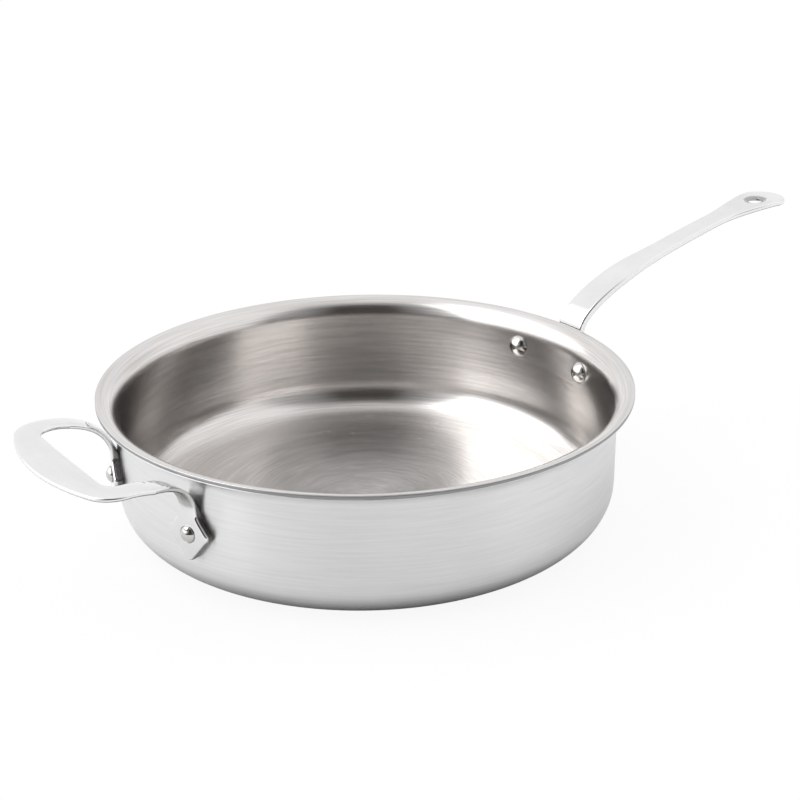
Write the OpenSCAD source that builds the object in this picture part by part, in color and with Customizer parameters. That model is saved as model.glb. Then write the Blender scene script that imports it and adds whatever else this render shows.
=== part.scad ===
// Clad steel pan with a low straight wall and a flared pouring lip, a long cast
// handle and a cast helper handle on the far side, all held by solid rivets.
// The origin is the centre of the flat base, +Z is up, and the long handle runs
// along +X. Lengths are in millimetres and angles in degrees.

/* [Pan] */
// Radius of the straight inside wall
pan_inner_r = 140; // [110:1:170]
// Height from the flat base to the top of the lip
pan_h = 78; // [66:1:110]
// Outside radius of the rounded corner between base and wall
corner_r = 23; // [10:1:28]
// Radius of the hollow under the flared lip
lip_r = 9.4; // [7:0.2:12]

/* [Cladding] */
// Thickness of the outer steel skin
outer_steel_t = 0.5; // [0.3:0.1:1]
// Thickness of the aluminium core
core_t = 1.6; // [1:0.1:3]
// Thickness of the inner steel lining
inner_steel_t = 0.5; // [0.3:0.1:1]

/* [Rivets] */
// Radius of a rivet's shank and of the holes that it fills
rivet_r = 3; // [2:0.1:3.6]
// Radius of the low domed head inside the pan
inner_head_r = 6.9; // [5:0.1:7.2]
// Height of the domed head inside the pan
inner_head_h = 4.8; // [2:0.1:6]
// Radius of the button head outside
outer_head_r = 4.8; // [4.2:0.1:6]
// Height of the button head outside
outer_head_h = 3; // [1.5:0.1:4]

/* [Long handle] */
// Distance from the edge of the lip to the tip of the handle
handle_reach = 184; // [150:1:240]
// Height of the middle of the grip's end above the lip
handle_rise = 53.5; // [36:0.5:75]
// Width of the neck where it leaves the pan
neck_w = 20.2; // [17:0.2:26]
// Width at the narrowest place of the grip
grip_w = 15; // [12:0.2:24]
// Width of the rounded end
end_w = 31; // [27:0.5:38]
// Thickness of the neck
neck_t = 4.6; // [3.8:0.1:6]
// Thickness of the grip
grip_t = 3.9; // [3:0.1:5.6]
// Thickness of the rounded end
end_t = 3.2; // [2.6:0.1:5]
// Free gap between the edge of the lip and the neck
rim_gap = 1; // [0.5:0.1:2]
// Height of the curved flange that is riveted to the wall
flange_h = 14.4; // [14.2:0.1:17]
// Thickness of the flange
flange_t = 4.5; // [3.5:0.1:5.5]
// Distance between the two rivets of the long handle
handle_rivet_pitch = 59; // [46:0.5:66]
// Radius of the hole to hang the pan by
hang_hole_r = 5; // [3.5:0.1:6]
// Width of the shallow dish round the hanging hole
hang_dish = 3.2; // [1:0.1:4]

/* [Helper handle] */
// Outside width of the loop
loop_w = 102.8; // [96:0.2:112]
// Distance from the edge of the lip to the front of the loop
loop_reach = 49.9; // [42:0.1:58]
// Width of the front bar at its middle
bar_w = 20.7; // [15:0.1:22]
// Width of each arm
arm_w = 13.7; // [10:0.1:15]
// Thickness of the loop at its thickest
loop_t = 3.8; // [3.2:0.1:5]
// Radius of the bowed front edge
bow_r = 118; // [100:1:160]
// Radius of the loop's outer corners
loop_corner_r = 17.2; // [12:0.2:20]
// Radius of the corners of the finger opening
opening_corner_r = 9; // [6:0.2:11]
// Depth of the middle of the loop's thickness below the top of the lip
loop_drop = 1.7; // [0:0.1:3]
// Width of the neck between loop and pad
foot_neck_w = 11; // [9:0.1:12.4]
// Distance between the two rivets of the helper handle
foot_rivet_pitch = 89.2; // [84:0.2:94]
// Height of those rivets above the base
foot_rivet_z = 40.4; // [38:0.2:44]
// Width of each pad across its side corners, before they are rounded
pad_w = 28; // [22:0.2:30]
// Height of each pad across its upper and lower corners
pad_h = 34; // [28:0.2:36]
// Radius of the pad's corners
pad_round = 3.6; // [2:0.1:6]
// Thickness of each pad at its rivet
pad_t = 4.5; // [3.6:0.1:5.4]

/* [Hidden] */
$fn = 240;

wall_t = outer_steel_t + core_t + inner_steel_t;
wall_r = pan_inner_r + wall_t;
rim_r = wall_r + lip_r;
lip_z = pan_h - wall_t - lip_r;
// How far every cut runs past the material that it removes
overrun = 2 * wall_t;

handle_rivet_z = lip_z - flange_h / 2;
flange_r = wall_r + flange_t;
handle_rivet_turn = asin(handle_rivet_pitch / 2 / wall_r);
tip_x = rim_r + handle_reach;
end_z = pan_h + handle_rise;
// Place of the hanging hole, measured back from the tip
hang_hole_back = end_w * 0.69;
hang_hole_x = tip_x - hang_hole_back;

// The helper handle lies opposite the long handle
helper_turn = 180;
pad_front = wall_r + pad_t;
foot_turn = asin(foot_rivet_pitch / 2 / pad_front);

function mix(a, b, share) = a + (b - a) * share;
function smooth(share) = share * share * (3 - 2 * share);
function bezier(p, t) = pow(1 - t, 3) * p[0] + 3 * t * pow(1 - t, 2) * p[1]
    + 3 * t * t * (1 - t) * p[2] + pow(t, 3) * p[3];
function unit(v) = v / norm(v);
// Signed power, which squares off a circle into a rounded rectangle
function squared(v, power_share) = sign(v) * pow(abs(v), power_share);

// Solid through a list of rings, each a closed loop of the same number of points
module loft(rings) {
    count = len(rings);
    around = len(rings[0]);
    points = [for (ring = rings) for (p = ring) p];
    sides = [for (i = [0 : count - 2]) for (j = [0 : around - 1])
        let (a = i * around + j, b = i * around + (j + 1) % around)
        each [[a, b, b + around], [a, b + around, a + around]]];
    caps = [[for (j = [around - 1 : -1 : 0]) j],
            [for (j = [0 : around - 1]) (count - 1) * around + j]];
    polyhedron(points = points, faces = concat(sides, caps), convexity = 8);
}

// Puts a flat outline on the wall: its x runs round the pan and its y runs up
module on_wall(turn, from_r, to_r) {
    rotate([0, 0, turn]) translate([from_r, 0, 0]) rotate([90, 0, 90])
        linear_extrude(height = to_r - from_r) children();
}

// Half section of the room inside a surface that lies inset from the pan's outside
module half_bowl(inset) {
    difference() {
        union() {
            translate([0, corner_r]) square([wall_r - inset, pan_h - corner_r]);
            translate([0, inset]) square([wall_r - corner_r, pan_h - inset]);
            translate([wall_r - corner_r, corner_r]) circle(corner_r - inset);
            translate([0, lip_z]) square([rim_r, pan_h - lip_z]);
        }
        translate([rim_r, lip_z]) circle(lip_r + inset);
    }
}

// One sheet of the clad pan, between two surfaces inset from the outside
module sheet(outer_inset, inner_inset) {
    difference() {
        rotate_extrude() difference() {
            half_bowl(outer_inset);
            half_bowl(inner_inset);
        }
        rivet_holes();
    }
}

module rivet_hole(turn, z) {
    rotate([0, 0, turn]) translate([pan_inner_r - overrun, 0, z]) rotate([0, 90, 0])
        cylinder(r = rivet_r, h = wall_t + flange_t + pad_t + 2 * overrun);
}

module rivet_holes() {
    for (side = [-1, 1]) {
        rivet_hole(side * handle_rivet_turn, handle_rivet_z);
        rivet_hole(helper_turn + side * foot_turn, foot_rivet_z);
    }
}

module outer_steel_skin() {
    color("silver") sheet(0, outer_steel_t);
}

module aluminium_core() {
    color("gainsboro") sheet(outer_steel_t, outer_steel_t + core_t);
}

module inner_steel_lining() {
    color("lightgray") sheet(outer_steel_t + core_t, wall_t);
}

// Half section of a domed head that stands on its seat, with its axis upright
module half_dome(head_r, head_h) {
    dome_r = (head_r * head_r + head_h * head_h) / (2 * head_h);
    intersection() {
        translate([0, head_h - dome_r]) circle(dome_r);
        square([head_r, head_h]);
    }
}

// Rivet through wall and handle: its outer head is seated at seat_r from the pan's axis,
// and its inner head where its rim meets the curved wall
inner_seat_r = sqrt(pan_inner_r * pan_inner_r - inner_head_r * inner_head_r);
module rivet(turn, z, seat_r) {
    color("whitesmoke") rotate([0, 0, turn]) translate([0, 0, z]) rotate([0, 90, 0])
        rotate_extrude() {
            translate([0, inner_seat_r]) mirror([0, 1]) half_dome(inner_head_r, inner_head_h);
            translate([0, inner_seat_r - inner_head_h / 2])
                square([rivet_r, seat_r - inner_seat_r + (inner_head_h + outer_head_h) / 2]);
            translate([0, seat_r]) half_dome(outer_head_r, outer_head_h);
        }
}

// Place on the long handle's mid thickness, by shares of its reach and its rise
function handle_place(reach_share, rise_share) =
    [rim_r + reach_share * handle_reach, pan_h + rise_share * handle_rise];

// The neck starts upright beside the lip, and its curve runs on into the grip's
neck_x = rim_r + rim_gap + neck_t / 2;
neck_line = [[neck_x, pan_h + handle_rise * -0.04], [neck_x, pan_h + handle_rise * 0.18],
             handle_place(0.195, 0.46), handle_place(0.306, 0.565)];
grip_line = [handle_place(0.306, 0.565), handle_place(0.44, 0.68),
             handle_place(0.85, 1.07), handle_place(1, 1)];

// Width along the handle: neck, slim grip, swell and round end. The shares of the reach
// say where each change of width starts and stops.
slim_share = [0.20, 0.45];
swell_share = [0.66, 0.95];
function part_way(share, span_share) =
    smooth(min(1, max(0, (share - span_share[0]) / (span_share[1] - span_share[0]))));
function handle_width(x) =
    let (share = (x - rim_r) / handle_reach,
         into_end = max(0, end_w / 2 - (tip_x - x)),
         round_w = 2 * sqrt(max(0, pow(end_w / 2, 2) - into_end * into_end)))
    min(round_w, mix(mix(neck_w, grip_w, part_way(share, slim_share)), end_w,
                     part_way(share, swell_share)));

function handle_thickness(x) =
    let (share = min(1, max(0, (x - rim_r) / handle_reach)))
    share < 0.3 ? mix(neck_t, grip_t, smooth(share / 0.3))
    : mix(grip_t, end_t, smooth((share - 0.3) / 0.7));

// Rounded section across the handle at p, square to its direction
section_points = 20;
section_power_share = 0.42;
function handle_ring(p, direction, w, t) =
    let (across = [-direction[1], direction[0]])
    [for (j = [0 : section_points - 1])
        let (a = 360 * j / section_points,
             up = t / 2 * squared(sin(a), section_power_share),
             side = -w / 2 * squared(cos(a), section_power_share))
        [p[0] + across[0] * up, side, p[1] + across[1] * up]];

function handle_line_ring(line, t) =
    let (p = bezier(line, t), step_share = 1 / 64)
    handle_ring(p, unit(bezier(line, t + step_share) - bezier(line, t - step_share)),
                handle_width(p[0]), handle_thickness(p[0]));

neck_rings = 12;
grip_rings = 22;
tip_rings = 9;
// Share of the grip's curve at which the round end takes over
tip_start_share = 0.82;
// Angle of the round end's last ring, just short of the very tip
tip_turn = 87;

function handle_rings() = concat(
    [handle_ring([wall_r + flange_t / 2, lip_z - flange_h * 0.72], unit([0.25, 1]),
                 neck_w * 1.22, flange_t),
     handle_ring([mix(flange_r, neck_x, 0.35), lip_z - flange_h * 0.12], unit([0.5, 1]),
                 neck_w * 1.12, neck_t)],
    [for (i = [0 : neck_rings - 1]) handle_line_ring(neck_line, i / neck_rings)],
    [for (i = [0 : grip_rings]) handle_line_ring(grip_line, tip_start_share * i / grip_rings)],
    [for (i = [1 : tip_rings])
        handle_tip_ring(tip_x - end_w / 2 * (1 - sin(tip_turn * i / tip_rings)))]);

// The end of the handle is level, so its rings stand upright
function handle_tip_ring(x) = handle_ring([x, end_z], [1, 0], handle_width(x), handle_thickness(x));

module flange_outline() {
    half = wall_r * sin(handle_rivet_turn);
    translate([-half, handle_rivet_z - flange_h / 2]) square([2 * half, flange_h]);
    for (side = [-1, 1]) translate([side * half, handle_rivet_z]) circle(flange_h / 2);
}

module long_handle() {
    color("white") difference() {
        union() {
            loft(handle_rings());
            intersection() {
                on_wall(0, wall_r / 2, flange_r) flange_outline();
                translate([0, 0, handle_rivet_z - flange_h]) cylinder(r = flange_r, h = 2 * flange_h);
            }
        }
        translate([0, 0, -overrun]) cylinder(r = wall_r, h = lip_z + 2 * overrun);
        rivet_holes();
        translate([hang_hole_x, 0, end_z]) hang_hole_cut();
    }
}

// The hanging hole has a shallow dish above and a slight one below
dish_depth_share = 0.36;
module hang_hole_cut() {
    depth = end_t * dish_depth_share;
    translate([0, 0, -end_t]) cylinder(r = hang_hole_r, h = 2 * end_t);
    translate([0, 0, end_t / 2 - depth])
        cylinder(r1 = hang_hole_r, r2 = hang_hole_r + 2 * hang_dish, h = 2 * depth);
    mirror([0, 0, 1]) translate([0, 0, end_t / 2 - depth / 3])
        cylinder(r1 = hang_hole_r, r2 = hang_hole_r + hang_dish, h = depth);
}

// The loop lies level with the lip. A place on it is given by how far it lies outwards
// from the edge of the lip and how far to the side, as the loop's two edges run.
loop_z = pan_h - loop_drop;
half_loop = loop_w / 2;
half_opening = half_loop - arm_w;
opening_front = loop_reach - bar_w;
// The outer corner's arc meets the bowed front edge and the arm's straight edge
corner_s = half_loop - loop_corner_r;
corner_m = loop_reach - bow_r + sqrt(pow(bow_r - loop_corner_r, 2) - corner_s * corner_s);
bow_turn = asin(corner_s / (bow_r - loop_corner_r));
// Where the level arm bends into the neck
arm_end = loop_reach * 0.2;
// The neck stands just clear of the wall
neck_stand = wall_r + loop_t * 0.55;

function polar(r, a) = r * [cos(a), sin(a)];

// Edges of the loop for u from 0 at the middle of the bar, past 1 and 2 at the corner's
// ends, to 3 where the arm ends
function outer_edge(u) =
    u < 1 ? [loop_reach - bow_r, 0] + polar(bow_r, bow_turn * u)
    : u < 2 ? [corner_m, corner_s] + polar(loop_corner_r, mix(bow_turn, 90, u - 1))
    : [mix(corner_m, arm_end, u - 2), half_loop];
function inner_edge(u) =
    u < 1 ? [opening_front, (half_opening - opening_corner_r) * u]
    : u < 2 ? [opening_front - opening_corner_r, half_opening - opening_corner_r]
        + polar(opening_corner_r, 90 * (u - 1))
    : [mix(opening_front - opening_corner_r, arm_end, u - 2), half_opening];

// Edges of the neck where it stands on the wall, and its curve from there out to the arm:
// each point has a share of the way out and a share of the height from rivet to loop
function neck_edge(side) =
    let (along = polar(neck_stand, foot_turn), across = polar(side * foot_neck_w / 2, foot_turn + 90))
    along + across - [rim_r, 0];
neck_curve_share = [[0, 0.2], [0, 0.62], [0.27, 0.88], [1, 0.957]];

// Edge of loop, arm and neck in space, for u from 0 to 4
function edge_place(u, side) =
    let (curve = bezier(neck_curve_share, min(1, 4 - u)),
         flat = side > 0 ? outer_edge(min(u, 3)) : inner_edge(min(u, 3)),
         bent = mix(neck_edge(side), flat, curve[0]),
         rise = u < 2 ? 1 : u < 3 ? mix(1, neck_curve_share[3][1], pow(u - 2, 2)) : curve[1],
         p = u < 3 ? flat : bent)
    [-rim_r - p[0], p[1], mix(foot_rivet_z, loop_z, rise)];

// Section from inner to outer edge, with an upright side at each and rounded below. On the
// bar, where crown_share is 1, the top rises to a crease half way and slopes down past it.
// On the arms, where it is 0, the top is nearly flat.
function loop_section(crown_share) =
    [[0, -0.12], [0, 0.1], [0.035, mix(0.26, 0.28, crown_share)],
     [mix(0.3, 0.25, crown_share), mix(0.34, 0.42, crown_share)],
     [mix(0.6, 0.5, crown_share), mix(0.36, 0.5, crown_share)],
     [0.8, mix(0.35, 0.42, crown_share)], [0.96, mix(0.28, 0.32, crown_share)],
     [1, 0.15], [1, -0.15], [0.94, -0.37], [0.5, -0.5], [0.12, -0.4], [0.02, -0.28]];

function loop_ring(u) =
    let (outer = edge_place(u, 1), inner = edge_place(u, -1), step_share = 1 / 64,
         ahead = edge_place(u + step_share, 1) + edge_place(u + step_share, -1),
         behind = edge_place(u - step_share, 1) + edge_place(u - step_share, -1),
         up = unit(cross(ahead - behind, outer - inner)))
    [for (p = loop_section(1 - part_way(u, [0.6, 1.8])))
        inner + p[0] * (outer - inner) + p[1] * loop_t * up];

function mirrored(ring) = [for (p = ring) [p[0], -p[1], p[2]]];

// Rings from the middle of the bar to each foot, and the share of the way that they go
loop_rings = 44;
loop_end_share = 0.995;
function helper_rings() = [for (i = [-loop_rings : loop_rings])
    let (ring = loop_ring(4 * loop_end_share * abs(i) / loop_rings))
    i < 0 ? mirrored(ring) : ring];

// Outline with each corner of a convex list of points rounded to the same radius
round_steps = 6;
function rounded(points, r) =
    let (n = len(points))
    [for (i = [0 : n - 1])
        let (v = points[i], to_last = unit(points[(i + n - 1) % n] - v),
             to_next = unit(points[(i + 1) % n] - v),
             half = acos(to_last * to_next) / 2,
             centre = v + unit(to_last + to_next) * r / sin(half),
             from = v + to_last * r / tan(half) - centre,
             start = atan2(from[1], from[0]))
        for (j = [0 : round_steps]) centre + polar(r, start + (180 - 2 * half) * j / round_steps)];

module pad(side) {
    on_wall(helper_turn + side * foot_turn, wall_r - overrun, pad_front)
        translate([0, foot_rivet_z])
        polygon(rounded([[pad_w / 2, 0], [0, pad_h / 2], [-pad_w / 2, 0], [0, -pad_h / 2]], pad_round));
}

module helper_handle() {
    color("white") difference() {
        union() {
            loft(helper_rings());
            for (side = [-1, 1]) pad(side);
        }
        translate([0, 0, -overrun]) cylinder(r = wall_r, h = lip_z + 2 * overrun);
        rivet_holes();
    }
}

module long_handle_rivet_left() {
    rivet(handle_rivet_turn, handle_rivet_z, flange_r);
}

module long_handle_rivet_right() {
    rivet(-handle_rivet_turn, handle_rivet_z, flange_r);
}

module helper_rivet_left() {
    rivet(helper_turn - foot_turn, foot_rivet_z, pad_front);
}

module helper_rivet_right() {
    rivet(helper_turn + foot_turn, foot_rivet_z, pad_front);
}

outer_steel_skin();
aluminium_core();
inner_steel_lining();
long_handle();
long_handle_rivet_left();
long_handle_rivet_right();
helper_handle();
helper_rivet_left();
helper_rivet_right();
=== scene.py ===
"""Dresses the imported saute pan: clad brushed sheets, cast handles, rivets and a white studio.

Lengths are metres in the part's frame. The origin is the centre of the flat base, +Z is up and
the long handle runs along +X.
"""
import logging
import math
from dataclasses import dataclass, field, replace
from enum import Enum

import bmesh
import bpy
import numpy as np
from mathutils import Matrix, Vector


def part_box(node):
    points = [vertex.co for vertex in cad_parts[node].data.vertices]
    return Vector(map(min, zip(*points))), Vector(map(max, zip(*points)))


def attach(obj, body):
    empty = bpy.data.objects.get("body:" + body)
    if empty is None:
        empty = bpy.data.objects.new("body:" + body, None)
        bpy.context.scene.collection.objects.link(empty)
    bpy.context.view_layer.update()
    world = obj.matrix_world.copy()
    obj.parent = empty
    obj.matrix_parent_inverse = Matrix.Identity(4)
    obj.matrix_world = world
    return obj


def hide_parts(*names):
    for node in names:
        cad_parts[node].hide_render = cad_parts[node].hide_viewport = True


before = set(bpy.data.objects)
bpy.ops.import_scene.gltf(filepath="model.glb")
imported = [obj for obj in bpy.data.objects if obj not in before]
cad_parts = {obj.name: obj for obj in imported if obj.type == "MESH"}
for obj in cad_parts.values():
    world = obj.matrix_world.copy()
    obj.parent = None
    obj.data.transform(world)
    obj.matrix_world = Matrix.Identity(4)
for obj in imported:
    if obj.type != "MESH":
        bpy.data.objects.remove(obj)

# Points nearer than MERGE are one. UNDERSIDE names the attribute of how far a point faces down.
LOG = logging.getLogger("pan")
MM = 0.001
MERGE = 2e-7
UNDERSIDE = "underside"
WHITE = (1.0, 1.0, 1.0, 1.0)

Numbers = float | np.ndarray
Value = float | bpy.types.NodeSocket
Tint = tuple[float, float, float, float] | bpy.types.NodeSocket
Span = tuple[float, float]
Triple = tuple[float, float, float]
Colour = Triple
Rows = tuple[Span, ...]


class Slot(Enum):
    """Material slots of the record; each piece keeps one beside its finish."""

    SKIN = "steel_outside"
    CORE = "aluminium_core"
    LINING = "steel_inside"
    HANDLE = "cast_handle"
    RIVET = "rivet_steel"


class Layer(Enum):
    """Sheets of the clad pan, from the outside in, by the CAD node that each one replaces."""

    SKIN = "outer_steel_skin"
    CORE = "aluminium_core"
    LINING = "inner_steel_lining"


def mix(start: Numbers, end: Numbers, share: Numbers) -> Numbers:
    """Value a share of the way from start to end, for numbers and arrays."""
    return start + (end - start) * share


def ease(share: Numbers) -> Numbers:
    """Smooth step: three squares less two cubes of the share, held between 0 and 1."""
    held = np.clip(share, 0.0, 1.0)
    return held * held * (3.0 - 2.0 * held)


def arc(centre: Span, radius: float, start: float, end: float, steps: int) -> np.ndarray:
    """Points on a circle in a plane.

    Args:
        centre: Middle of the circle.
        radius: Its radius.
        start: First angle in degrees.
        end: Last angle in degrees.
        steps: Number of steps between them.

    Returns:
        Array of steps + 1 points: centre plus radius times (cosine, sine) of the angle.
    """
    angle = np.radians(np.linspace(start, end, steps + 1))
    return np.array(centre) + radius * np.stack([np.cos(angle), np.sin(angle)], axis=1)


def bezier(controls: np.ndarray, share: np.ndarray) -> np.ndarray:
    """Cubic curve through the first and last of four control points.

    Args:
        controls: The four points, one a row.
        share: Shares of the way along, from 0 to 1.

    Returns:
        One point a share: the controls weighted by the four terms of (1 - t + t) cubed.
    """
    t = np.asarray(share)[..., None]
    rest = 1.0 - t
    return (rest ** 3 * controls[0] + 3 * t * rest ** 2 * controls[1]
            + 3 * t ** 2 * rest * controls[2] + t ** 3 * controls[3])


def unit(vectors: np.ndarray) -> np.ndarray:
    """Vectors of the last axis at length one."""
    return vectors / np.linalg.norm(vectors, axis=-1, keepdims=True)


def lengthwise(points: np.ndarray, step: float) -> np.ndarray:
    """Line through the given points with its points spread evenly.

    Args:
        points: Corners of the line, one a row.
        step: Longest distance between two points of the result.

    Returns:
        Points at equal shares of the line's length.
    """
    run = np.concatenate([[0.0], np.cumsum(np.linalg.norm(np.diff(points, axis=0), axis=1))])
    count = max(2, int(math.ceil(run[-1] / step)) + 1)
    wanted = np.linspace(0.0, run[-1], count)
    return np.stack([np.interp(wanted, run, points[:, k]) for k in range(points.shape[1])], axis=1)


def soften(points: np.ndarray, rounds: int) -> np.ndarray:
    """Open line with its corners rounded off.

    Each inner point goes half way to the middle of its two neighbours, again and again.

    Args:
        points: Points of the line, one a row.
        rounds: How many times the points move.

    Returns:
        As many points, with the ends where they were.
    """
    line = points.copy()
    for _ in range(rounds):
        line[1:-1] = (line[:-2] + line[2:]) / 4 + line[1:-1] / 2
    return line


def dense_loop(corners: np.ndarray, counts: tuple[int, ...], rounds: int) -> np.ndarray:
    """Closed section with its corners rounded off, for one or many rings at once.

    Each side of the loop is cut into its own count of equal steps. Then every point moves to a
    quarter of its two neighbours plus half of itself, as many times as asked, which leaves
    straight sides straight and rounds the corners.

    Args:
        corners: Array (..., sides, coordinates) of the loop's corners in order.
        counts: Number of steps on each side.
        rounds: How many times the points are averaged.

    Returns:
        Array (..., sum of counts, coordinates).
    """
    following = np.roll(corners, -1, axis=-2)
    parts = [mix(corners[..., k:k + 1, :], following[..., k:k + 1, :],
                 (np.arange(steps) / steps)[:, None]) for k, steps in enumerate(counts)]
    loop = np.concatenate(parts, axis=-2)
    for _ in range(rounds):
        loop = (np.roll(loop, 1, axis=-2) + np.roll(loop, -1, axis=-2)) / 4 + loop / 2
    return loop


def with_ends(rings: np.ndarray) -> np.ndarray:
    """Rings with their two ends closed.

    Args:
        rings: Array (rings, points, 3).

    Returns:
        Two more rings, one at each end, whose points all lie at the mean of the end ring.
    """
    first = np.broadcast_to(rings[:1].mean(axis=1, keepdims=True), rings[:1].shape)
    last = np.broadcast_to(rings[-1:].mean(axis=1, keepdims=True), rings[-1:].shape)
    return np.concatenate([first, rings, last])


def revolve(profile: np.ndarray, segments: int) -> np.ndarray:
    """Turns a profile of (radius, height) rows round the Z axis.

    Args:
        profile: Points of the profile in order.
        segments: Number of steps of the full turn.

    Returns:
        Array (points, segments, 3): (radius cosine, radius sine, height) of each turn.
    """
    turn = np.linspace(0.0, 2 * math.pi, segments, endpoint=False)
    radius = profile[:, :1]
    return np.stack([radius * np.cos(turn), radius * np.sin(turn),
                     np.broadcast_to(profile[:, 1:], (len(profile), segments))], axis=2)


def spun(points: np.ndarray, turn: float) -> np.ndarray:
    """Points turned round the Z axis by an angle in radians."""
    cosine, sine = math.cos(turn), math.sin(turn)
    return points @ np.array([[cosine, sine, 0.0], [-sine, cosine, 0.0], [0.0, 0.0, 1.0]])


def grid_quads(rows: int, columns: int, wraps: bool, first: int) -> np.ndarray:
    """Corner numbers of a grid's quads.

    Args:
        rows: Rows of the grid.
        columns: Columns of the grid.
        wraps: Whether the last column joins the first one.
        first: Number of the grid's first point in the mesh.

    Returns:
        Array (quads, 4).
    """
    across = np.arange(columns if wraps else columns - 1)
    down = np.arange(rows - 1)[:, None] * columns
    beside = (across + 1) % columns
    quads = np.stack([down + across, down + beside, down + beside + columns,
                      down + across + columns], axis=-1)
    return first + quads.reshape(-1, 4)


@dataclass(frozen=True)
class Patch:
    """Grid of points, (rows, columns, 3), that becomes part of a mesh."""

    points: np.ndarray
    wraps: bool = True


@dataclass
class Piece:
    """One finished piece of the pan: its surface patches, its finish and what it replaces."""

    name: str
    patches: list[Patch]
    material: bpy.types.Material
    slot: Slot
    node: str
    sharp_angle: float = 40.0

    def build(self) -> bpy.types.Object:
        """Makes the mesh object and ties it to the frame.

        The patches' seams and poles are merged, and the faces are turned outwards.

        Returns:
            The new object, which stays at the origin.
        """
        starts = np.cumsum([0] + [p.points.shape[0] * p.points.shape[1] for p in self.patches])
        vertices = np.concatenate([p.points.reshape(-1, 3) for p in self.patches])
        quads = np.concatenate([grid_quads(*p.points.shape[:2], p.wraps, int(start))
                                for p, start in zip(self.patches, starts)])
        mesh = bpy.data.meshes.new(self.name)
        mesh.from_pydata(vertices.tolist(), [], quads.tolist())
        work = bmesh.new()
        work.from_mesh(mesh)
        bmesh.ops.remove_doubles(work, verts=work.verts, dist=MERGE)
        bmesh.ops.dissolve_degenerate(work, edges=work.edges, dist=MERGE)
        bmesh.ops.recalc_face_normals(work, faces=work.faces)
        work.to_mesh(mesh)
        work.free()
        mesh.polygons.foreach_set("use_smooth", [True] * len(mesh.polygons))
        mesh.set_sharp_from_angle(angle=math.radians(self.sharp_angle))
        normals = np.empty(3 * len(mesh.vertices), dtype=np.float32)
        mesh.vertex_normals.foreach_get("vector", normals)
        down = mesh.attributes.new(UNDERSIDE, "FLOAT", "POINT")
        down.data.foreach_set("value", -normals[2::3])
        mesh.materials.append(self.material)
        piece = bpy.data.objects.new(self.name, mesh)
        bpy.context.scene.collection.objects.link(piece)
        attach(piece, "root")
        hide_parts(self.node)
        LOG.info("%s: %d faces, stands for %s", self.name, len(mesh.polygons), self.node)
        return piece


class Sketch:
    """Adds nodes to a node tree and links them."""

    def __init__(self, tree: bpy.types.NodeTree) -> None:
        """Keeps the tree that the nodes go into."""
        self.tree = tree

    def node(self, kind: str, settings: dict[str, object] | None = None,
             inputs: dict[str | int, object] | None = None) -> bpy.types.Node:
        """Adds one node.

        Args:
            kind: Blender's name of the node type.
            settings: Properties of the node.
            inputs: Values or output sockets for its inputs, by name or number.

        Returns:
            The new node.
        """
        node = self.tree.nodes.new(kind)
        for key, value in (settings or {}).items():
            setattr(node, key, value)
        for key, value in (inputs or {}).items():
            if isinstance(value, bpy.types.NodeSocket):
                self.tree.links.new(value, node.inputs[key])
            else:
                node.inputs[key].default_value = value
        return node

    def math(self, operation: str, *values: Value) -> bpy.types.NodeSocket:
        """Adds a Math node and returns its result."""
        node = self.node("ShaderNodeMath", {"operation": operation}, dict(enumerate(values)))
        return node.outputs[0]

    def length(self, x: Value, y: Value) -> bpy.types.NodeSocket:
        """Adds the root of the sum of two squares and returns it."""
        squares = (self.math("MULTIPLY", side, side) for side in (x, y))
        return self.math("SQRT", self.math("ADD", *squares))

    def noise(self, vector: bpy.types.NodeSocket, scale: float, detail: float = 2.0,
              roughness: float = 0.5) -> bpy.types.NodeSocket:
        """Adds a Noise Texture.

        Args:
            vector: Where it is read.
            scale: Its scale.
            detail: Number of finer layers.
            roughness: Strength of the finer layers.

        Returns:
            Its value, about a half on average.
        """
        node = self.node("ShaderNodeTexNoise", {}, {"Vector": vector, "Scale": scale,
                                                    "Detail": detail, "Roughness": roughness})
        return node.outputs["Fac"]

    def span(self, value: Value, source: Span, target: Span) -> bpy.types.NodeSocket:
        """Adds a Map Range that holds its result within the target.

        Args:
            value: What is mapped.
            source: Values that go to the two ends of the target.
            target: Results at those two values.

        Returns:
            The mapped value.
        """
        node = self.node("ShaderNodeMapRange", {"clamp": True},
                         {"Value": value, "From Min": source[0], "From Max": source[1],
                          "To Min": target[0], "To Max": target[1]})
        return node.outputs["Result"]

    def blend(self, share: Value, start: Tint, end: Tint) -> bpy.types.NodeSocket:
        """Adds a Mix of two colours, which are the node's inputs 6 and 7.

        Args:
            share: How far the result goes from start to end.
            start: First colour.
            end: Second colour.

        Returns:
            The mixed colour.
        """
        node = self.node("ShaderNodeMix", {"data_type": "RGBA"}, {0: share, 6: start, 7: end})
        return node.outputs[2]

    def xyz(self, x: Value, y: Value, z: Value) -> bpy.types.NodeSocket:
        """Adds a Combine XYZ of three values and returns its vector."""
        return self.node("ShaderNodeCombineXYZ", {}, {0: x, 1: y, 2: z}).outputs[0]

    def place(self) -> bpy.types.NodeSocket:
        """Adds the Object coordinates and returns them."""
        return self.node("ShaderNodeTexCoord").outputs["Object"]


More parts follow.
